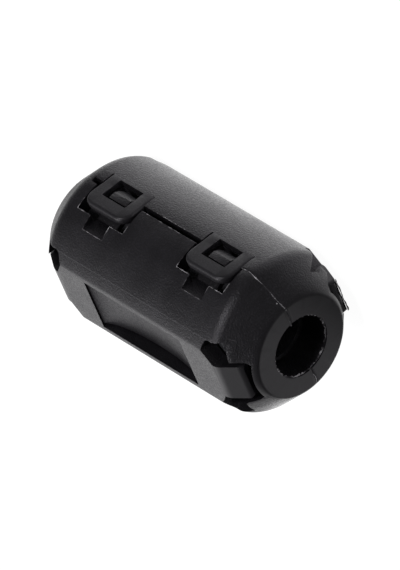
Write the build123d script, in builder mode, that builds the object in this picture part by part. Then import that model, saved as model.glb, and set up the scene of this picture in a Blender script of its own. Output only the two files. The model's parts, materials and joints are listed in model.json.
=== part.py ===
"""Clip-on ferrite bead: a hinged moulded case that snaps round a cable and holds a split ferrite core.

Millimetres. The origin is the centre of the cable bore. X runs along the bore, the latches are at -Y,
the living hinge is at +Y and +Z is up. The case rests on the flat of its lower half.
"""

import os

from build123d import *

# Case, outside
case_length = 30.0
case_radius = 8.25
nose_radius = 5.3
cone_length = 3.2
shoulder_round = 1.6
nose_round = 0.45
flat_height = 7.35

# Cable bore, core and the room round the core
bore_radius = 3.25
core_length = 22.6
core_radius = 6.6
core_bore_radius = 3.4
core_edge_chamfer = 0.3
core_clearance = 0.15
core_crown_clearance = 0.2
core_end_clearance = 0.2

# Spring leaf moulded into each flat, bowed in to press on the core
leaf_recess_length = 13.7
leaf_recess_width = 6.4
leaf_side_gap = 0.3
leaf_bow = 1.2
leaf_thickness = 0.6
leaf_end_blend = 0.1
leaf_press_gap = 0.05

# Sprung end tabs that hold the core, and the wells that free them
tab_width = 4.4
tab_root_inset = 3.9
tab_tip_inset = 1.4
upper_tab_drop = 1.25
lower_tab_drop = 0.65
tab_crease_reach = 0.5
tab_crease_round = 1.7
tab_corner_round = 0.4
tab_tip_bevel = 0.15
tab_tip_thickness = 0.9
tab_lug_length = 1.1
tab_lug_overlap = 0.7
tab_side_gap = 0.4
tab_shoulder_gap = 0.7
tab_tip_gap = 0.9
well_floor_height = 2.0
throat_radius = 4.3
well_width = 9.8
well_near_inset = 4.95
well_far_inset = 2.5
well_corner = 0.45
well_corner_round = 0.6
lower_well_notch_length = 0.8
lower_well_notch_width = 1.0

# Latches: a window loop on the lower half, a catch and a T-shaped pocket on the upper half
latch_spacing = 14.2
loop_width = 6.0
loop_reach = 2.45
loop_root_depth = 1.75
loop_thickness = 0.8
loop_stand_off = 0.18
loop_flare = 0.2
loop_corner_round = 1.3
loop_edge_round = 0.3
window_width = 3.3
window_top = 1.5
window_bottom = 0.95
pocket_depth = 0.95
pocket_side_gap = 0.25
pocket_end_gap = 0.6
pocket_neck_width = 2.8
pocket_neck_length = 1.35
neck_dip_height = 2.5
neck_dip_radius = 7.05
rib_height = 1.3
catch_width = 2.3
catch_offset = 0.3
catch_tip = 0.8
catch_tip_round = 0.35
catch_play = 0.2
catch_back_gap = 0.15
catch_front_gap = 0.12

# Slit between the two loops, on the parting plane
slit_depth = 1.15
slit_lower = 0.38
slit_upper = 0.18
slit_tail = 1.1

# Living hinge: two thin straps that fold at the parting plane
strap_width = 5.5
strap_spacing = 14.2
strap_half_length = 1.3
strap_thickness = 0.35
strap_bulge = 0.45
strap_seat_gap = 0.1

# Places worked out from the sizes above
half_length = case_length / 2
cone_start = half_length - cone_length
core_flat_height = flat_height - leaf_bow - leaf_thickness - leaf_press_gap
cavity_radius = core_radius + core_clearance
cavity_half = core_length / 2 + core_end_clearance
cavity_flat_height = core_flat_height + core_crown_clearance
tab_root = half_length - tab_root_inset
tab_tip = half_length - tab_tip_inset
tab_lug_bottom = core_flat_height - tab_lug_overlap
well_end = tab_tip + tab_tip_gap
pocket_radius = case_radius - pocket_depth
slit_radius = case_radius - slit_depth
strap_foot_y = case_radius - strap_thickness - strap_seat_gap
strap_seat_y = strap_foot_y - strap_seat_gap
strap_web_y = case_radius + strap_bulge - strap_thickness
latch_places = (-latch_spacing / 2, latch_spacing / 2)
loop_inner_x = latch_spacing / 2 - loop_width / 2
loop_outer_x = latch_spacing / 2 + loop_width / 2
strap_places = (-strap_spacing / 2, strap_spacing / 2)
far_out = 2 * case_radius


def skin_y(z, radius=case_radius):
    """Distance from the XZ plane to a cylinder about X, at height z."""
    return (radius**2 - z**2) ** 0.5


os.makedirs("parts", exist_ok=True)

# The moulded form that both halves share, crown up
with BuildPart() as half_case:
    with BuildSketch(Plane.XY) as outline:
        with BuildLine():
            Polyline(
                (-half_length, 0),
                (-half_length, nose_radius),
                (-cone_start, case_radius),
                (cone_start, case_radius),
                (half_length, nose_radius),
                (half_length, 0),
                close=True,
            )
        make_face()
        fillet(outline.vertices().group_by(Axis.Y)[-1], shoulder_round)
        fillet(outline.vertices().group_by(Axis.X)[0].sort_by(Axis.Y)[-1], nose_round)
        fillet(outline.vertices().group_by(Axis.X)[-1].sort_by(Axis.Y)[-1], nose_round)
    revolve(axis=Axis.X, revolution_arc=180)
    with BuildSketch(Plane.XY.offset(flat_height)):
        Rectangle(case_length, far_out)
    extrude(amount=case_radius, mode=Mode.SUBTRACT)

    # Room for the core, and the half bore
    with BuildSketch(Plane.YZ):
        Circle(cavity_radius)
        with Locations((0, cavity_flat_height)):
            Rectangle(far_out, case_radius, align=(Align.CENTER, Align.MIN), mode=Mode.SUBTRACT)
    extrude(amount=cavity_half, both=True, mode=Mode.SUBTRACT)
    with BuildSketch(Plane.YZ):
        Circle(bore_radius)
    extrude(amount=half_length, both=True, mode=Mode.SUBTRACT)

    # Spring leaf: an elliptical bow, joined to the flat at its two short ends
    with BuildSketch(Plane.XY.offset(cavity_flat_height - case_radius)):
        Rectangle(leaf_recess_length, leaf_recess_width)
    extrude(amount=far_out, mode=Mode.SUBTRACT)
    with BuildSketch(Plane.XZ):
        with Locations((0, flat_height)):
            Ellipse(leaf_recess_length / 2 + leaf_end_blend + leaf_thickness, leaf_bow + leaf_thickness)
            Ellipse(leaf_recess_length / 2 + leaf_end_blend, leaf_bow, mode=Mode.SUBTRACT)
            Rectangle(
                leaf_recess_length + leaf_end_blend,
                case_radius,
                align=(Align.CENTER, Align.MAX),
                mode=Mode.INTERSECT,
            )
    extrude(amount=leaf_recess_width / 2 - leaf_side_gap, both=True)

    # Wells round the end tabs: each goes down beside the throat, the tube round the bore
    flat_half_width = skin_y(flat_height)
    for end in (-1, 1):
        rim = [
            (tab_root, tab_width / 2),
            (half_length - well_near_inset, flat_half_width),
            (half_length - well_near_inset + well_corner, well_width / 2),
            (half_length - well_far_inset, well_width / 2),
            (half_length - well_far_inset + well_corner, tab_width / 2 + tab_shoulder_gap),
            (well_end - well_corner, tab_width / 2 + tab_side_gap),
            (well_end, tab_width / 2),
        ]
        outline_points = [(end * x, y) for x, y in rim] + [(end * x, -y) for x, y in reversed(rim)]
        with BuildSketch(Plane.XY.offset(well_floor_height)) as well:
            with BuildLine():
                Polyline(*outline_points, close=True)
            make_face()
            corners = [well.vertices().group_by(Axis.Y)[side].sort_by_distance((0, 0))[0] for side in (0, -1)]
            fillet(corners, well_corner_round)
        extrude(amount=case_radius, mode=Mode.SUBTRACT)
        with BuildSketch(Plane.YZ.offset(end * cavity_half)):
            Circle(throat_radius)
            Circle(bore_radius, mode=Mode.SUBTRACT)
            Rectangle(far_out, case_radius, align=(Align.CENTER, Align.MIN), mode=Mode.INTERSECT)
        extrude(amount=end * (half_length - cavity_half - nose_round))


def end_tab(drop):
    """Sprung tab of the +X end, crown up: its tip is pressed in by drop, and its lug stops the core's end."""
    with BuildPart() as tab:
        with BuildSketch(Plane.XZ) as side_view:
            with BuildLine():
                Polyline(
                    (tab_root - tab_side_gap, cavity_flat_height),
                    (tab_root - tab_side_gap, flat_height),
                    (tab_root + tab_crease_reach, flat_height),
                    (tab_tip, flat_height - drop),
                    (tab_tip + tab_tip_bevel, flat_height - drop - 2 * tab_tip_bevel),
                    (tab_tip, flat_height - drop - tab_tip_thickness),
                    (cavity_half + tab_lug_length, tab_lug_bottom),
                    (cavity_half, tab_lug_bottom),
                    (cavity_half, cavity_flat_height),
                    close=True,
                )
            make_face()
            fillet(side_view.vertices().group_by(Axis.Y)[-1].sort_by(Axis.X)[-1], tab_crease_round)
        extrude(amount=tab_width / 2, both=True)
        with BuildSketch(Plane.XY):
            RectangleRounded(2 * (tab_tip + tab_tip_bevel), tab_width, tab_corner_round)
        extrude(amount=case_radius, mode=Mode.INTERSECT)
    return tab.part


# Lower half: carries the loops and the lower core
with BuildPart() as base_shell:
    add(mirror(half_case.part, about=Plane.XY, mode=Mode.PRIVATE))
    far_tab = mirror(end_tab(lower_tab_drop), about=Plane.XY, mode=Mode.PRIVATE)
    add(far_tab)
    add(mirror(far_tab, about=Plane.YZ, mode=Mode.PRIVATE))
    # The outer corners of the wells run further down the cones in this half
    notch_x = half_length - well_far_inset + lower_well_notch_length / 2
    notch_y = (well_width - lower_well_notch_width) / 2
    with BuildSketch(Plane.XY.offset(-well_floor_height)):
        with GridLocations(2 * notch_x, 2 * notch_y, 2, 2):
            Rectangle(lower_well_notch_length, lower_well_notch_width)
    extrude(amount=-case_radius, mode=Mode.SUBTRACT)
    for x_c in latch_places:
        # Seat of the loop's root, open to the parting plane
        with BuildSketch(Plane.YZ.offset(x_c)):
            with Locations((-case_radius, -loop_root_depth)):
                Rectangle(case_radius, loop_root_depth, align=(Align.CENTER, Align.MIN))
            Circle(pocket_radius, mode=Mode.SUBTRACT)
        extrude(amount=loop_width / 2, both=True, mode=Mode.SUBTRACT)
        # Room behind the window for the catch
        with BuildSketch(Plane.XZ):
            with Locations((x_c, -window_top)):
                Rectangle(window_width, window_top, align=(Align.CENTER, Align.MIN))
        extrude(amount=case_radius, mode=Mode.SUBTRACT)
    for start, end in ((loop_inner_x, -loop_inner_x), (loop_outer_x, loop_outer_x + slit_tail)):
        with BuildSketch(Plane.YZ.offset(start)):
            with Locations((-case_radius, -slit_lower)):
                Rectangle(case_radius, slit_lower, align=(Align.CENTER, Align.MIN))
            Circle(slit_radius, mode=Mode.SUBTRACT)
        extrude(amount=end - start, mode=Mode.SUBTRACT)
    for x_c in strap_places:
        with BuildSketch(Plane.XZ.offset(-strap_seat_y)):
            with Locations((x_c, 0)):
                Rectangle(strap_width, strap_half_length, align=(Align.CENTER, Align.MAX))
        extrude(amount=-case_radius, mode=Mode.SUBTRACT)
base_shell.part.label = "base_shell"
export_step(base_shell.part, "parts/base_shell.step")

# Upper half: carries the catches and the upper core
with BuildPart() as cover_shell:
    add(half_case.part)
    add(end_tab(upper_tab_drop))
    add(mirror(end_tab(upper_tab_drop), about=Plane.YZ, mode=Mode.PRIVATE))
    pocket_top = loop_reach + pocket_end_gap
    pocket_half = loop_width / 2 + pocket_side_gap
    slot_width = pocket_half - pocket_neck_width / 2
    neck_top = pocket_top + pocket_neck_length
    for x_c in latch_places:
        # T-shaped pocket. Its bar is open to the core on both sides of the rib that carries the catch
        with BuildSketch(Plane.XZ):
            for side in (-1, 1):
                with Locations((x_c + side * (pocket_half - slot_width / 2), 0)):
                    Rectangle(slot_width, pocket_top, align=(Align.CENTER, Align.MIN))
        extrude(amount=case_radius, mode=Mode.SUBTRACT)
        # Its stem gives a tool room to lift the loop: a ramp that runs out at the skin
        with BuildSketch(Plane.YZ.offset(x_c)):
            with BuildLine():
                Polyline(
                    (-pocket_radius, 0),
                    (-skin_y(rib_height, pocket_radius), rib_height),
                    (-skin_y(neck_dip_height, neck_dip_radius), neck_dip_height),
                    (-skin_y(neck_top), neck_top),
                    (-case_radius, neck_top),
                    (-case_radius, 0),
                    close=True,
                )
            make_face()
        extrude(amount=pocket_neck_width / 2, both=True, mode=Mode.SUBTRACT)
    with BuildSketch(Plane.YZ.offset(-latch_spacing / 2)):
        with Locations((-case_radius, 0)):
            Rectangle(case_radius, slit_upper, align=(Align.CENTER, Align.MIN))
        Circle(slit_radius, mode=Mode.SUBTRACT)
    extrude(amount=latch_spacing / 2 + loop_outer_x + slit_tail, mode=Mode.SUBTRACT)
    catch_back = cavity_radius + catch_back_gap
    catch_middle = pocket_radius + pocket_depth / 2
    catch_front = case_radius + loop_stand_off - catch_front_gap
    catch_face = window_bottom - catch_play
    for x_c in latch_places:
        with BuildSketch(Plane.YZ.offset(x_c - catch_offset)):
            with BuildLine():
                Polyline(
                    (-catch_back, catch_face),
                    (-catch_back, -catch_tip / 2),
                    (-pocket_radius, -catch_tip),
                    (-catch_middle, -catch_tip),
                    (-catch_front, 0),
                    (-catch_front, catch_face),
                    close=True,
                )
            make_face()
        extrude(amount=catch_width / 2, both=True)
    tip_edges = cover_shell.edges().filter_by(Axis.Y).group_by(Axis.Z)[0]
    fillet(tip_edges, catch_tip_round)
    for x_c in strap_places:
        with BuildSketch(Plane.XZ.offset(-strap_seat_y)):
            with Locations((x_c, 0)):
                Rectangle(strap_width, strap_half_length, align=(Align.CENTER, Align.MIN))
        extrude(amount=-case_radius, mode=Mode.SUBTRACT)
cover_shell.part.label = "cover_shell"
export_step(cover_shell.part, "parts/cover_shell.step")

# Latch loops: flat window loops that flex outwards about their roots
loop_front = case_radius + loop_stand_off
loop_back = loop_front - loop_thickness
for side, x_c in zip(("left", "right"), latch_places):
    with BuildPart() as latch_loop:
        with BuildSketch(Plane.YZ.offset(x_c)):
            with BuildLine():
                skin = RadiusArc(
                    (-skin_y(loop_root_depth), -loop_root_depth),
                    (-skin_y(slit_lower), -slit_lower),
                    case_radius,
                )
                Polyline(
                    skin @ 1,
                    (-loop_front, window_bottom),
                    (-loop_front - loop_flare, loop_reach),
                    (-loop_back - loop_flare, loop_reach),
                    (-loop_back, window_bottom),
                    (-loop_back, -slit_lower),
                    (-skin_y(loop_root_depth) + loop_thickness, -loop_root_depth),
                    skin @ 0,
                )
            make_face()
        extrude(amount=loop_width / 2, both=True)
        with BuildSketch(Plane.XZ):
            with Locations((x_c, -window_top)):
                Rectangle(window_width, window_top + window_bottom, align=(Align.CENTER, Align.MIN))
        extrude(amount=far_out, mode=Mode.SUBTRACT)
        end_edges = latch_loop.edges().filter_by(Axis.Y).group_by(Axis.Z)[-1]
        fillet(end_edges, loop_corner_round)
        fillet(latch_loop.edges().group_by(Axis.Z)[-1].group_by(Axis.Y)[0], loop_edge_round)
    latch_loop.part.label = f"{side}_latch_loop"
    export_step(latch_loop.part, f"parts/{side}_latch_loop.step")

# Split ferrite core: two like halves with ground mating faces
with BuildPart() as core_half_upper:
    with BuildSketch(Plane.YZ):
        Circle(core_radius)
        Circle(core_bore_radius, mode=Mode.SUBTRACT)
        Rectangle(far_out, core_flat_height, align=(Align.CENTER, Align.MIN), mode=Mode.INTERSECT)
    extrude(amount=core_length / 2, both=True)
    chamfer(core_half_upper.faces().filter_by(Axis.X).edges().filter_by(GeomType.CIRCLE), core_edge_chamfer)
core_half_upper.part.label = "core_half_upper"
export_step(core_half_upper.part, "parts/core_half_upper.step")

with BuildPart() as core_half_lower:
    mirror(core_half_upper.part, about=Plane.XY)
core_half_lower.part.label = "core_half_lower"
export_step(core_half_lower.part, "parts/core_half_lower.step")

# Living-hinge straps: thin curved webs moulded with both halves
for side, x_c in zip(("left", "right"), strap_places):
    with BuildPart() as hinge_strap:
        with BuildSketch(Plane.YZ.offset(x_c)):
            with BuildLine():
                inner = ThreePointArc(
                    (strap_foot_y, -strap_half_length),
                    (strap_web_y, 0),
                    (strap_foot_y, strap_half_length),
                )
                outer = ThreePointArc(
                    (strap_foot_y + strap_thickness, -strap_half_length),
                    (strap_web_y + strap_thickness, 0),
                    (strap_foot_y + strap_thickness, strap_half_length),
                )
                Line(inner @ 0, outer @ 0)
                Line(inner @ 1, outer @ 1)
            make_face()
        extrude(amount=strap_width / 2, both=True)
    hinge_strap.part.label = f"{side}_hinge_strap"
    export_step(hinge_strap.part, f"parts/{side}_hinge_strap.step")
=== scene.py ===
"""Clip-on ferrite bead: a hinged case of black moulded nylon round a split ferrite core, on a pale table."""

import json

import bpy
import numpy as np
from mathutils import Matrix, Vector


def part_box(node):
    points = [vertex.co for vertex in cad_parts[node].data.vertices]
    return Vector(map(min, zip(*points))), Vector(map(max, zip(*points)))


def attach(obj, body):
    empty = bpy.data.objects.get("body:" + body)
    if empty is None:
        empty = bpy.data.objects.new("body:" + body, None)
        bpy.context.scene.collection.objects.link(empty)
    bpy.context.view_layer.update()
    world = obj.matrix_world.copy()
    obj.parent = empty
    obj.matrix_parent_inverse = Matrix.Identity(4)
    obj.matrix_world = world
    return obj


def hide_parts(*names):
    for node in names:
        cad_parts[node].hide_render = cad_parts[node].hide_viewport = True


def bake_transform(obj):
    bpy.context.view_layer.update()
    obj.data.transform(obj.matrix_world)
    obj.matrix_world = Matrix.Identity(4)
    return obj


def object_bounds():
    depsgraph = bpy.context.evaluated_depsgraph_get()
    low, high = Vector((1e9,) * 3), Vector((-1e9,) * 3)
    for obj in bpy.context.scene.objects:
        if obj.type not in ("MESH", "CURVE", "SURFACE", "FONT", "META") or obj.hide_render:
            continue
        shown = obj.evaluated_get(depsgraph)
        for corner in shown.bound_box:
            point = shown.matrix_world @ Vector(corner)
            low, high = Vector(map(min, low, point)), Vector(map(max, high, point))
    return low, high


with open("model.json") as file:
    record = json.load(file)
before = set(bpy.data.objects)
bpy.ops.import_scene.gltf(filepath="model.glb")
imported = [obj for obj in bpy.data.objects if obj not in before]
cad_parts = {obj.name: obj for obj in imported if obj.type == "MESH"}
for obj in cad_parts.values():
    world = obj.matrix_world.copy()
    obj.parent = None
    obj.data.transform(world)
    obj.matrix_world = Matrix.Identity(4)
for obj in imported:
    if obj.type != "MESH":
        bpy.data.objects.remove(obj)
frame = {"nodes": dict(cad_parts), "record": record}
cad_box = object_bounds()
nodes = frame["nodes"]
MM = 0.001

# The camera stands off the front left corner of the case, a little above it, and is rolled
# so that the bore runs from the upper left to the lower right. The lens is very long.
CAMERA_DISTANCE = 0.77
CAMERA_RIGHT = Vector((-0.6578, 0.2875, -0.6962))
CAMERA_UP = Vector((0.394, -0.6564, -0.6433))
CAMERA_BACK = Vector((-0.6419, -0.6975, 0.3185))
AIM_RIGHT = 0.435 * MM
AIM_DOWN = 0.196 * MM
camera_data = bpy.data.cameras.new("camera")
camera_data.lens = 515.4
camera_data.sensor_width = 36.0
camera_data.clip_start = 0.01
camera_data.clip_end = 20.0
camera = bpy.data.objects.new("camera", camera_data)
bpy.context.scene.collection.objects.link(camera)
camera_place = CAMERA_BACK * CAMERA_DISTANCE + CAMERA_RIGHT * AIM_RIGHT - CAMERA_UP * AIM_DOWN
camera_turn = Matrix((CAMERA_RIGHT, CAMERA_UP, CAMERA_BACK)).transposed().to_4x4()
camera.matrix_world = Matrix.Translation(camera_place) @ camera_turn
bpy.context.scene.camera = camera
bpy.context.scene.view_settings.view_transform = "Standard"


# The table is matt white card. In reflections it is painted light: it glows bright beside the bead
# and grey towards the front, as lamps behind the bead would light it. To the camera it is plain white,
# apart from a part left as card, which keeps the shadow.
TABLE_SIZE = 4.0
CARD_COLOUR = "f4f4f4"
CARD_SHARE = 0.2
CARD_LEVEL = 1.2
# The card's painted glow in reflections: axis, start and end in mm, the level at each, how it changes
CARD_GLOW = {
    "beside": ("Y", -23, -1, 0.02, 2.4, "SMOOTHSTEP"),
    "near": ("X", -17, -9, 0.02, 1.0, "LINEAR"),
    "far": ("X", 20, 36, 1.0, 0.22, "LINEAR"),
    "behind": ("Y", 4, 16, 0.0, 0.5, "LINEAR"),
}


def linear(hex_colour):
    """An sRGB hex colour, such as 2a2a2c, as linear red, green, blue and 1."""
    values = [int(hex_colour[i : i + 2], 16) / 255 for i in (0, 2, 4)]
    return tuple(v / 12.92 if v <= 0.04045 else ((v + 0.055) / 1.055) ** 2.4 for v in values) + (1.0,)


def node(tree, kind, inputs=None, **settings):
    """Adds a shader node with its settings. Each of its inputs gets a value, or a link from another
    node's output, where a node by itself stands for its first output."""
    made = tree.nodes.new(kind)
    for name, value in settings.items():
        setattr(made, name, value)
    for socket, value in (inputs or {}).items():
        if isinstance(value, bpy.types.Node):
            value = value.outputs[0]
        if isinstance(value, bpy.types.NodeSocket):
            tree.links.new(value, made.inputs[socket])
        else:
            made.inputs[socket].default_value = value
    return made


table_mesh = bpy.data.meshes.new("table")
half = TABLE_SIZE / 2
table_z = cad_box[0].z
table_corners = [(x, y, table_z) for x, y in ((-half, -half), (half, -half), (half, half), (-half, half))]
table_mesh.from_pydata(table_corners, [], [(0, 1, 2, 3)])
table = bpy.data.objects.new("table", table_mesh)
bpy.context.scene.collection.objects.link(table)
card = bpy.data.materials.new("white_card")
card.use_nodes = True
tree = card.node_tree
tree.nodes.clear()
paths = node(tree, "ShaderNodeLightPath")
place = node(tree, "ShaderNodeTexCoord").outputs["Object"]
across = node(tree, "ShaderNodeSeparateXYZ", {"Vector": place})
glow_at = {}
for name, (axis, start, end, first, last, change) in CARD_GLOW.items():
    sockets = {"From Min": start * MM, "From Max": end * MM, "To Min": first, "To Max": last}
    sockets["Value"] = across.outputs[axis]
    glow_at[name] = node(tree, "ShaderNodeMapRange", sockets, interpolation_type=change)
# Painted reflection: for glossy rays the card glows by these levels, though no lamp lights it there.
along = node(tree, "ShaderNodeMath", {0: glow_at["near"], 1: glow_at["far"]}, operation="MULTIPLY")
painted_glow = node(tree, "ShaderNodeMath", {0: glow_at["beside"], 1: along}, operation="MULTIPLY")
painted_glow = node(tree, "ShaderNodeMath", {0: painted_glow, 1: glow_at["behind"]}, operation="ADD")
seen_through = {0: paths.outputs["Is Camera Ray"], 1: paths.outputs["Is Transmission Ray"]}
plain = node(tree, "ShaderNodeMath", seen_through, operation="MAXIMUM")
mirrored = paths.outputs["Is Glossy Ray"]
plain_level = node(tree, "ShaderNodeMath", {0: plain, 1: CARD_LEVEL}, operation="MULTIPLY")
mirrored_level = node(tree, "ShaderNodeMath", {0: mirrored, 1: painted_glow}, operation="MULTIPLY")
level = node(tree, "ShaderNodeMath", {0: mirrored_level, 1: plain_level}, operation="ADD")
either = node(tree, "ShaderNodeMath", {0: plain, 1: mirrored}, operation="MAXIMUM")
share = node(tree, "ShaderNodeMath", {0: either, 1: 1 - CARD_SHARE}, operation="MULTIPLY")
matt = node(tree, "ShaderNodeBsdfDiffuse", {"Color": linear(CARD_COLOUR)})
glow = node(tree, "ShaderNodeEmission", {"Strength": level})
mixed = node(tree, "ShaderNodeMixShader", {0: share, 1: matt, 2: glow})
node(tree, "ShaderNodeOutputMaterial", {"Surface": mixed})
table_mesh.materials.append(card)


# The room is plain white behind the bead and falls off to dark grey on the camera's side, as
# a studio with one lit backdrop does. Seen directly, it is white all round.
WALL_WAY = (0.64, 0.70, 0.32)
WALL_EDGE = 0.2
WALL_FALL = 3.0
DARK_LEVEL = 0.08
WALL_LEVEL = 1.6
world = bpy.data.worlds.new("room")
bpy.context.scene.world = world
world.use_nodes = True
tree = world.node_tree
tree.nodes.clear()
paths = node(tree, "ShaderNodeLightPath")
way = node(tree, "ShaderNodeTexCoord").outputs["Generated"]
facing = node(tree, "ShaderNodeVectorMath", {0: way, 1: WALL_WAY}, operation="DOT_PRODUCT").outputs["Value"]
level = node(tree, "ShaderNodeMapRange", {"Value": facing, "From Min": WALL_EDGE, "From Max": 1.0})
level = node(tree, "ShaderNodeMath", {0: level, 1: WALL_FALL}, operation="POWER")
level = node(tree, "ShaderNodeMapRange", {"Value": level, "To Min": DARK_LEVEL, "To Max": WALL_LEVEL})
soft = node(tree, "ShaderNodeBackground", {"Strength": level})
white = node(tree, "ShaderNodeBackground", {"Strength": 1.0})
seen_through = {0: paths.outputs["Is Camera Ray"], 1: paths.outputs["Is Transmission Ray"]}
seen = node(tree, "ShaderNodeMath", seen_through, operation="MAXIMUM")
sky = node(tree, "ShaderNodeMixShader", {0: seen, 1: soft, 2: white})
node(tree, "ShaderNodeOutputWorld", {"Surface": sky})


# Two square soft boxes light the bead: a wide one overhead and a small one in front of the
# latches. Each row is a name, a way from the bead, a distance and a size in metres, and watts.
LAMPS = [("top_lamp", (0.15, 0.1, 0.98), 0.7, 0.4, 2.0), ("front_lamp", (-0.05, -0.73, 0.68), 0.6, 0.16, 1.0)]
for name, way, distance, size, power in LAMPS:
    lamp_data = bpy.data.lights.new(name, "AREA")
    lamp_data.shape = "SQUARE"
    lamp_data.size = size
    lamp_data.energy = power
    lamp = bpy.data.objects.new(name, lamp_data)
    bpy.context.scene.collection.objects.link(lamp)
    lamp.location = Vector(way).normalized() * distance
    lamp.rotation_euler = Vector(way).to_track_quat("Z", "Y").to_euler()


# The case is two half shells, injection-moulded in nylon 6/6 that is black right through. The tool
# is spark eroded, which leaves an even fine grain; the nose rings and tabs come off polished steel
# and are smoother. The real grain is about 0.05 mm, and it is drawn coarser so that it shows.
NYLON_IOR = 1.53
NYLON_SHEEN = (0.97, 0.94, 1.0, 1.0)
GRAIN_SIZE = 0.17
GRAIN_DEPTH = 0.05
CLOUD_SIZE = 2.6
CLOUD_RANGE = (0.35, 0.68)
CLOUD_SHARE = 0.35
CLOUD_DULL = 0.3
# Painted glint: where the grain is highest, its colour is painted paler by this range and share.
GLINT_PAINT_RANGE = (0.5, 0.72)
GLINT_PAINT_SHARE = 0.65
SPARKLE_RANGE = (0.38, 0.62)
SPARKLE = 0.3
PALE_TIMES = 2.6
SHINE_SPREAD = 0.1
SPECK_SPACING = 3.2
SPECK_SIZE = 0.07
SPECK_CORE = 0.7
SPECK_COLOUR = "b9b7bb"
SMOOTH_SHARE = 0.12
RING_BLEND = (0.4, 0.05)
TAB_ROOT = 11.1
TAB_BLEND = 0.2
TAB_HALF = 2.25
EDGE_ROUND = 0.05
EDGE_DEGREES = 32
PALE_NOISE_SIZE = 1.4
PALE_NOISE_DEPTH = 0.05
EDGE_FLASH_ROUGHNESS = 0.45
nose_x = cad_box[1].x / MM


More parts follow.
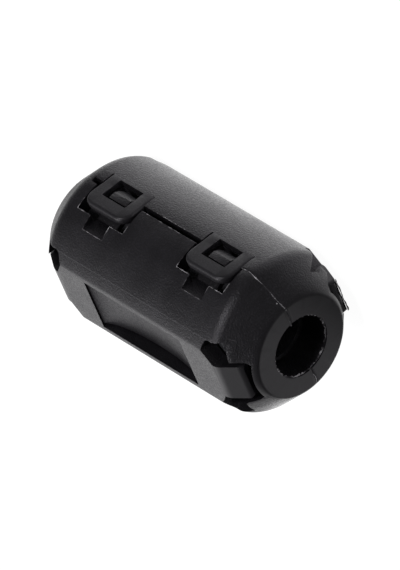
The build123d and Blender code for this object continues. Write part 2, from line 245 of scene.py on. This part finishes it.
def nylon(name, colour, roughness, grain, specks=True):
    """Black moulded nylon: spark-eroded grain over cloudy flow marks, with a few white dust specks, and
    painted glints that make the tops of the grain paler.
    The grain fades to a small share of itself near the ends of the case and between a tab's sides."""
    made = bpy.data.materials.new(name)
    made.use_nodes = True
    tree = made.node_tree
    shader = tree.nodes["Principled BSDF"]
    shader.inputs["IOR"].default_value = NYLON_IOR
    shader.inputs["Specular Tint"].default_value = NYLON_SHEEN
    place = node(tree, "ShaderNodeTexCoord").outputs["Object"]
    grit = {"Vector": place, "Scale": 1 / (GRAIN_SIZE * MM), "Detail": 2.0}
    grit = node(tree, "ShaderNodeTexNoise", grit).outputs["Fac"]
    cloud = {"Vector": place, "Scale": 1 / (CLOUD_SIZE * MM), "Detail": 5.0}
    cloud = node(tree, "ShaderNodeTexNoise", cloud).outputs["Fac"]

    # Where the tool is spark eroded: off the nose rings, and before a tab's root or beside the tab
    axes = node(tree, "ShaderNodeSeparateXYZ", {"Vector": place})
    along = node(tree, "ShaderNodeMath", {0: axes.outputs["X"]}, operation="ABSOLUTE")
    aside = node(tree, "ShaderNodeMath", {0: axes.outputs["Y"]}, operation="ABSOLUTE")
    ring = {"From Min": (nose_x - RING_BLEND[0]) * MM, "From Max": (nose_x - RING_BLEND[1]) * MM}
    ring |= {"Value": along, "To Min": 1.0, "To Max": SMOOTH_SHARE}
    off_ring = node(tree, "ShaderNodeMapRange", ring)
    root = {"From Min": (TAB_ROOT - TAB_BLEND) * MM, "From Max": (TAB_ROOT + TAB_BLEND) * MM}
    root |= {"Value": along, "To Min": 1.0, "To Max": SMOOTH_SHARE}
    before_tab = node(tree, "ShaderNodeMapRange", root)
    edge = {"Value": aside, "From Min": (TAB_HALF - 0.02) * MM, "From Max": TAB_HALF * MM}
    beside_tab = node(tree, "ShaderNodeMapRange", edge)
    off_tab = node(tree, "ShaderNodeMath", {0: before_tab, 1: beside_tab}, operation="MAXIMUM")
    eroded = node(tree, "ShaderNodeMath", {0: off_ring, 1: off_tab}, operation="MULTIPLY")

    # Colour: clouds are paler flow marks, and painted glints make the tops of the grain paler
    mottle = {"Value": cloud, "From Min": CLOUD_RANGE[0], "From Max": CLOUD_RANGE[1]}
    mottle = node(tree, "ShaderNodeMapRange", mottle)
    mottle = node(tree, "ShaderNodeMath", {0: mottle, 1: eroded}, operation="MULTIPLY")
    painted_glint = {"Value": grit, "From Min": GLINT_PAINT_RANGE[0], "From Max": GLINT_PAINT_RANGE[1]}
    painted_glint = node(tree, "ShaderNodeMapRange", painted_glint)
    painted_glint = node(tree, "ShaderNodeMath", {0: painted_glint, 1: eroded}, operation="MULTIPLY")
    cloud_part = node(tree, "ShaderNodeMath", {0: mottle, 1: CLOUD_SHARE}, operation="MULTIPLY")
    painted_glint_part = node(tree, "ShaderNodeMath", {0: painted_glint, 1: GLINT_PAINT_SHARE}, operation="MULTIPLY")
    pale = node(tree, "ShaderNodeMath", {0: cloud_part, 1: painted_glint_part}, operation="ADD")
    tones = {"Factor": pale, "A": linear(colour)}
    tones["B"] = tuple(PALE_TIMES * v for v in linear(colour)[:3]) + (1.0,)
    tone = node(tree, "ShaderNodeMix", tones, data_type="RGBA").outputs["Result"]
    if specks:
        dots = node(tree, "ShaderNodeTexVoronoi", {"Vector": place, "Scale": 1 / (SPECK_SPACING * MM)})
        size = SPECK_SIZE / SPECK_SPACING
        dot = {"Value": dots.outputs["Distance"], "From Min": size * SPECK_CORE, "From Max": size}
        dot = node(tree, "ShaderNodeMapRange", dot | {"To Min": 1.0, "To Max": 0.0})
        tones = {"Factor": dot, "A": tone, "B": linear(SPECK_COLOUR)}
        tone = node(tree, "ShaderNodeMix", tones, data_type="RGBA").outputs["Result"]
    tree.links.new(tone, shader.inputs["Base Color"])

    # Shine: the tops of the grain are glossier, the clouds duller
    sparkle = {"Value": grit, "From Min": SPARKLE_RANGE[0], "From Max": SPARKLE_RANGE[1]}
    sparkle = node(tree, "ShaderNodeMapRange", sparkle | {"To Min": SPARKLE, "To Max": -SPARKLE})
    dull = node(tree, "ShaderNodeMath", {0: mottle, 1: CLOUD_DULL}, operation="MULTIPLY")
    streak = node(tree, "ShaderNodeMath", {0: sparkle, 1: dull}, operation="ADD")
    streak = node(tree, "ShaderNodeMath", {0: streak, 1: eroded}, operation="MULTIPLY")
    shine = {"Value": streak, "From Min": -0.5, "From Max": 0.5}
    shine |= {"To Min": roughness - SHINE_SPREAD, "To Max": roughness + SHINE_SPREAD}
    tree.links.new(node(tree, "ShaderNodeMapRange", shine).outputs[0], shader.inputs["Roughness"])
    height = node(tree, "ShaderNodeMath", {0: grit, 1: eroded}, operation="MULTIPLY")
    bump = node(tree, "ShaderNodeBump", {"Height": height, "Strength": grain, "Distance": GRAIN_DEPTH * MM})
    tree.links.new(bump.outputs[0], shader.inputs["Normal"])
    return made


def flash_nylon(name, dark, pale, break_up):
    """Thin moulding flash and the rounded edge strips: a dark colour that turns pale in short lengths,
    which start where a broad noise passes the break-up value. On the nylon's edge strips and flash
    fins the pale lengths are painted highlights, where the edges catch the light."""
    made = bpy.data.materials.new(name)
    made.use_nodes = True
    tree = made.node_tree
    shader = tree.nodes["Principled BSDF"]
    shader.inputs["IOR"].default_value = NYLON_IOR
    shader.inputs["Specular Tint"].default_value = NYLON_SHEEN
    shader.inputs["Roughness"].default_value = EDGE_FLASH_ROUGHNESS
    place = node(tree, "ShaderNodeTexCoord").outputs["Object"]
    pale_noise = {"Vector": place, "Scale": 1 / (PALE_NOISE_SIZE * MM), "Detail": 6.0, "Roughness": 0.7}
    pale_noise = node(tree, "ShaderNodeTexNoise", pale_noise).outputs["Fac"]
    pale_highlight_mask = {"Value": pale_noise, "From Min": break_up - 0.06, "From Max": break_up + 0.1}
    tones = {"Factor": node(tree, "ShaderNodeMapRange", pale_highlight_mask), "A": linear(dark), "B": linear(pale)}
    tone = node(tree, "ShaderNodeMix", tones, data_type="RGBA")
    tree.links.new(tone.outputs["Result"], shader.inputs["Base Color"])
    bump = node(tree, "ShaderNodeBump", {"Height": pale_noise, "Strength": 0.5, "Distance": PALE_NOISE_DEPTH * MM})
    tree.links.new(bump.outputs[0], shader.inputs["Normal"])
    return made


def finish_moulding(obj, material, edge_material, edge):
    """Rounds the sharp edges of a moulded CAD piece; the rounded strip takes the edge material, which paints
    it pale in short lengths.
    """
    obj.data.materials.clear()
    obj.data.materials.append(material)
    obj.data.materials.append(edge_material)
    weld = obj.modifiers.new("weld", "WELD")
    weld.merge_threshold = 0.0005 * MM
    bevel = obj.modifiers.new("edges", "BEVEL")
    bevel.width = edge * MM
    bevel.segments = 2
    bevel.limit_method = "ANGLE"
    bevel.angle_limit = np.radians(EDGE_DEGREES)
    bevel.material = 1
    shading = obj.modifiers.new("shading", "WEIGHTED_NORMAL")
    shading.weight = 90


case_nylon = nylon("black_moulded_nylon", "18171a", 0.37, 1.0)
# The nylon's rounded edge strips are painted pale in short lengths: a painted highlight, where the edges
# catch the light.
highlight_edge_nylon = flash_nylon("nylon_edge_painted_highlight", "2a292d", "9a989d", 0.5)
for name in ("base_shell", "cover_shell"):
    finish_moulding(nodes[name], case_nylon, highlight_edge_nylon, EDGE_ROUND)


# The two latch loops are moulded with the lower half, of the same nylon, and snap over the
# catches of the upper half. Polished tool inserts leave them smooth, with a soft shine.
LOOP_EDGE_ROUND = 0.04
loop_nylon = nylon("smooth_moulded_nylon", "1b1a1d", 0.42, 0.15)
# Their rounded edge strips take the same painted highlight as the shells' edges.
for name in ("left_latch_loop", "right_latch_loop"):
    finish_moulding(nodes[name], loop_nylon, highlight_edge_nylon, LOOP_EDGE_ROUND)


# The core is sintered nickel-zinc ferrite: pressed from powder, fired to a hard grey ceramic
# and ground flat on the mating faces, which leaves a dull sheen and fine pores. The leaves and
# tabs of the case hold each half in its shell.
CORE_EDGE_ROUND = 0.04
core_ferrite = nylon("sintered_ferrite", "2b2b2e", 0.55, 0.8, specks=False)
# The ferrite's rounded edge strips turn paler grey in short lengths.
ferrite_edge_strip = flash_nylon("ferrite_edge_pale_lengths", "343437", "6a6a6d", 0.55)
for name in ("core_half_lower", "core_half_upper"):
    finish_moulding(nodes[name], core_ferrite, ferrite_edge_strip, CORE_EDGE_ROUND)


# Two straps of the same nylon, moulded thin across the back, are the living hinge. Each is a
# web that bulges outwards when the case is shut and thins to a fold line in the middle. Folding
# polishes it, so it is smoother than the shells.
STRAP_THICK = 0.35 * MM
STRAP_FOLD = 0.24 * MM
STRAP_BOW = 0.8
STRAP_FOLD_WIDTH = 0.12
STRAP_EDGE_ROUND = 0.05


def strap_surface(low, high, around=33, along=15):
    """A web between two feet: its outer face is a circular arc over z, its inner face is offset
    inwards by a thickness that dips by a bell curve to the fold line; swept straight along x."""
    height = np.linspace(-1, 1, around)
    rise = (high.y - low.y) - STRAP_THICK
    sag = (1 - np.sqrt(1 - (STRAP_BOW * height) ** 2)) / (1 - np.sqrt(1 - STRAP_BOW**2))
    outer = high.y - rise * sag
    thick = STRAP_THICK - (STRAP_THICK - STRAP_FOLD) * np.exp(-((height / STRAP_FOLD_WIDTH) ** 2))
    z = low.z + (high.z - low.z) * (height + 1) / 2
    profile_y = np.concatenate([outer, (outer - thick)[::-1]])
    profile_z = np.concatenate([z, z[::-1]])
    x = np.linspace(low.x, high.x, along)
    ring = 2 * around
    grid = np.stack([np.repeat(x, ring), np.tile(profile_y, along), np.tile(profile_z, along)], axis=1)
    i, j = np.meshgrid(np.arange(along - 1), np.arange(ring), indexing="ij")
    a, b = i * ring + j, i * ring + (j + 1) % ring
    faces = np.stack([a, b, b + ring, a + ring], axis=-1).reshape(-1, 4).tolist()
    faces += [list(range(ring))[::-1], list(range((along - 1) * ring, along * ring))]
    return grid, faces


def add_piece(name, points, faces, material, smooth=True):
    """A mesh object at the origin, from points in metres and faces that already point outwards."""
    mesh = bpy.data.meshes.new(name)
    mesh.from_pydata(points.tolist(), [], faces)
    mesh.materials.append(material)
    made = bpy.data.objects.new(name, mesh)
    bpy.context.scene.collection.objects.link(made)
    mesh.polygons.foreach_set("use_smooth", [smooth] * len(mesh.polygons))
    return made


strap_nylon = nylon("flexed_nylon", "232225", 0.36, 0.2)
for side in ("left", "right"):
    low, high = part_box(f"{side}_hinge_strap")
    points, faces = strap_surface(low, high)
    strap = add_piece(f"{side}_hinge_web", points, faces, strap_nylon)
    bevel = strap.modifiers.new("edges", "BEVEL")
    bevel.width = STRAP_EDGE_ROUND * MM
    bevel.segments = 2
    bevel.limit_method = "ANGLE"
    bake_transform(strap)
    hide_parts(f"{side}_hinge_strap")


# Flash on the parting line: where the tool's halves meet, a little nylon squeezes out as a thin
# ragged fin. It runs from each latch over the cone, and across the near nose ring on both sides
# of the bore. It is left on. Its crest is painted pale in short lengths, a painted highlight where it catches
# the light.
NOSE_RADIUS = 5.3
CONE_LENGTH = 3.2
SHOULDER_ROUND = 1.6
FIN_KEEL = 0.02
FIN_END = 0.02
SLIT_TAIL = 1.1
# The flash fins, burrs, bore lips and gate thread are painted pale in short lengths: painted highlights along
# their crests.
flash_highlight_nylon = flash_nylon("moulding_flash_painted_highlight", "2b292d", "b4b1b6", 0.52)
case_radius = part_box("base_shell")[1].y / MM
bore_radius = next(m["dims"]["r_mm"] for m in frame["record"]["mounts"] if m["name"] == "cable_bore")
loop_boxes = [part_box(f"{side}_latch_loop") for side in ("left", "right")]
latch_x = [(low.x + high.x) / 2 / MM for low, high in loop_boxes]
loop_half = (loop_boxes[0][1].x - loop_boxes[0][0].x) / 2 / MM


def skin_radius(x):
    """Outer radius of the case at x: a cylinder, a rounded shoulder and a straight cone to the nose."""
    slope = (case_radius - NOSE_RADIUS) / CONE_LENGTH
    tilt = np.arctan(slope)
    start = nose_x - CONE_LENGTH - SHOULDER_ROUND * np.tan(tilt / 2)
    end = start + SHOULDER_ROUND * np.sin(tilt)
    away = np.abs(x)
    arc = case_radius - SHOULDER_ROUND + np.sqrt(np.maximum(SHOULDER_ROUND**2 - (away - start) ** 2, 0))
    cone = NOSE_RADIUS + slope * (nose_x - away)
    return np.where(away < start, case_radius, np.where(away < end, arc, cone))


def on_skin(x, degrees):
    """Points on the case's skin, and the radial way out, at x and an angle up from the latch side."""
    x, turn = np.broadcast_arrays(np.asarray(x, float), np.radians(degrees))
    out = np.stack([np.zeros_like(x), -np.cos(turn), np.sin(turn)], axis=-1)
    return out * skin_radius(x)[:, None] + np.stack([x, 0 * x, 0 * x], axis=-1), out


def ragged(count, step, seed):
    """Uneven values from 0 to 1 along a line: random knots every few samples, joined straight."""
    knots = np.random.default_rng(seed).random(count // step + 2)
    return np.interp(np.arange(count) / step, np.arange(len(knots)), knots)


def fin(name, path, out, width, height, seed, body, material, bite=0.8, step=2):
    """A closed four-sided strip along a path in mm: two feet up to half the width to each side, a crest
    pushed out by up to the height, both cut by bite times a ragged value, and a keel under the skin."""
    count = len(path)
    ahead = np.gradient(path, axis=0)
    side = np.cross(ahead, out)
    side /= np.linalg.norm(side, axis=1)[:, None]
    spread = (width / 2 * (1 - bite * ragged(count, step + 1, seed)))[:, None]
    crest = (height * (1 - bite * ragged(count, step, seed + 1)))[:, None]
    ring = [path + side * spread, path + out * crest, path - side * spread, path - out * FIN_KEEL]
    points = np.stack(ring, axis=1).reshape(-1, 3) * MM
    i, j = np.meshgrid(np.arange(count - 1), np.arange(4), indexing="ij")
    a, b = 4 * i + j, 4 * i + (j + 1) % 4
    faces = np.stack([a, a + 4, b + 4, b], axis=-1).reshape(-1, 4).tolist()
    faces += [[0, 1, 2, 3], [4 * count - 1, 4 * count - 2, 4 * count - 3, 4 * count - 4]]
    made = add_piece(name, points, faces, material, smooth=False)
    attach(made, body)
    return made


x = np.linspace(latch_x[0] - loop_half - 0.1, -nose_x + FIN_END, 70)
path, out = on_skin(x, 0.3 * np.sin(3 * x))
fin("parting_flash_cone", path, out, 0.13, 0.06, 1, "base", flash_highlight_nylon)
x = np.linspace(latch_x[1] + loop_half + SLIT_TAIL + 0.2, nose_x - FIN_END, 50)
path, out = on_skin(x, 0.2 * np.sin(2 * x))
fin("parting_flash_far_cone", path, out, 0.08, 0.03, 2, "base", flash_highlight_nylon)
reach = np.linspace(NOSE_RADIUS - 0.1, bore_radius - 0.25, 30)
ahead_of_ring = np.tile((-1.0, 0, 0), (len(reach), 1))
for side, name, seed in ((-1, "latch", 3), (1, "hinge", 4)):
    path = np.stack([np.full(len(reach), -nose_x + 0.005), side * reach, 0.12 * np.sin(2.4 * reach)], axis=-1)
    fin(f"parting_flash_nose_{name}", path, ahead_of_ring, 0.16, 0.015, seed, "base", flash_highlight_nylon, 0.6)


# Flash round the two mouths of the bore, where the core pin of the tool shuts off against each
# half. It stands inwards as a ragged lip and splits where the halves part.
LIP_INSET = 0.2
LIP_GAP_DEGREES = 2
for end, end_name in ((-1, "near"), (1, "far")):
    for first, body, seed in ((0, "cover", 11), (180, "base", 12)):
        turn = np.radians(np.linspace(first + LIP_GAP_DEGREES, first + 180 - LIP_GAP_DEGREES, 110))
        inward = np.stack([0 * turn, np.cos(turn), -np.sin(turn)], axis=-1)
        path = -inward * (bore_radius + 0.01) + np.array([end * (nose_x - LIP_INSET), 0, 0])
        fin(f"bore_flash_{end_name}_{body}", path, inward, 0.16, 0.26, seed + 7 * end, body, flash_highlight_nylon, 1.0)


# Burrs round the latch pockets of the upper half, where the slides of the tool shut off. They
# follow the stepped rim of each pocket: the room round the loop, then a narrower neck above it.
POCKET_SIDE_GAP = 0.25
POCKET_END_GAP = 0.6
NECK_HALF = 1.4
NECK_LENGTH = 1.35
RIM_START = 1.9
pocket_half = loop_half + POCKET_SIDE_GAP
pocket_top = loop_boxes[0][1].z / MM + POCKET_END_GAP
neck_top = pocket_top + NECK_LENGTH
half_rim = [(pocket_half, RIM_START), (pocket_half, pocket_top)]
half_rim += [(NECK_HALF, pocket_top), (NECK_HALF, neck_top)]
rim = [(-x, z) for x, z in half_rim] + half_rim[::-1]
for side, x_c in zip(("left", "right"), latch_x):
    for number, (start, end) in enumerate(zip(rim, rim[1:])):
        x = x_c + np.linspace(start[0], end[0], 24)
        z = np.linspace(start[1], end[1], 24)
        path, out = on_skin(x, np.degrees(np.arcsin(z / case_radius)))
        fin(f"{side}_pocket_burr_{number + 1}", path, out, 0.1, 0.035, 20 + number, "cover", flash_highlight_nylon, 0.9)


# Burrs along both lips of the slit between the loops, where a thin blade of the tool has kept the
# halves apart. The upper one is on the cover and the lower one on the base.
SLIT_DEGREES = (1.5, -2.9)
x = np.linspace(latch_x[0] + loop_half + 0.1, latch_x[1] - loop_half - 0.1, 80)
path, out = on_skin(x, np.full(len(x), SLIT_DEGREES[0]))
fin("slit_burr_upper", path, out, 0.09, 0.03, 41, "cover", flash_highlight_nylon, 1.0)
path, out = on_skin(x, np.full(len(x), SLIT_DEGREES[1]))
fin("slit_burr_lower", path, out, 0.08, 0.03, 42, "base", flash_highlight_nylon, 1.0)


# Witness mark of an ejector: a small raised square on the near cone of the upper half, where a
# square pin pushed the warm moulding out of the tool.
MARK_X = (-12.55, -13.25)
MARK_DEGREES = (47.0, 56.0)
corners = [(0, 0), (1, 0), (1, 1), (0, 1), (0, 0)]
steps = np.linspace(0, 4, 41)
mark_x = np.interp(steps, range(5), [MARK_X[i] for i, j in corners])
mark_degrees = np.interp(steps, range(5), [MARK_DEGREES[j] for i, j in corners])
path, out = on_skin(mark_x, mark_degrees)
fin("ejector_mark", path, out, 0.16, 0.07, 51, "cover", strap_nylon, 0.2)


# Torn gate on the tip of the lower near tab, where the nylon ran into the tool. It was twisted
# off, not cut, which leaves a scorched ragged lip and a short thread.
GATE_X = -13.66
GATE_Z = -6.72
GATE_ENDS = (-2.0, 2.15)
GATE_OUT = (-0.55, 0.0, -0.83)
THREAD_OUT = (-0.9, 0.1, -0.4)
THREAD_START = 44
gate_nylon = flash_nylon("scorched_gate_flash", "3a3230", "75695f", 0.52)
y = np.linspace(*GATE_ENDS, 60)
path = np.stack([GATE_X + 0.05 * np.sin(3 * y), y, np.full(len(y), GATE_Z)], axis=-1)
fin("torn_gate", path, np.tile(GATE_OUT, (len(y), 1)), 0.6, 0.15, 61, "base", gate_nylon, 0.6, 5)
path = path[THREAD_START:]
fin("torn_gate_thread", path, np.tile(THREAD_OUT, (len(path), 1)), 0.07, 0.2, 63, "base", flash_highlight_nylon, 0.8, 5)
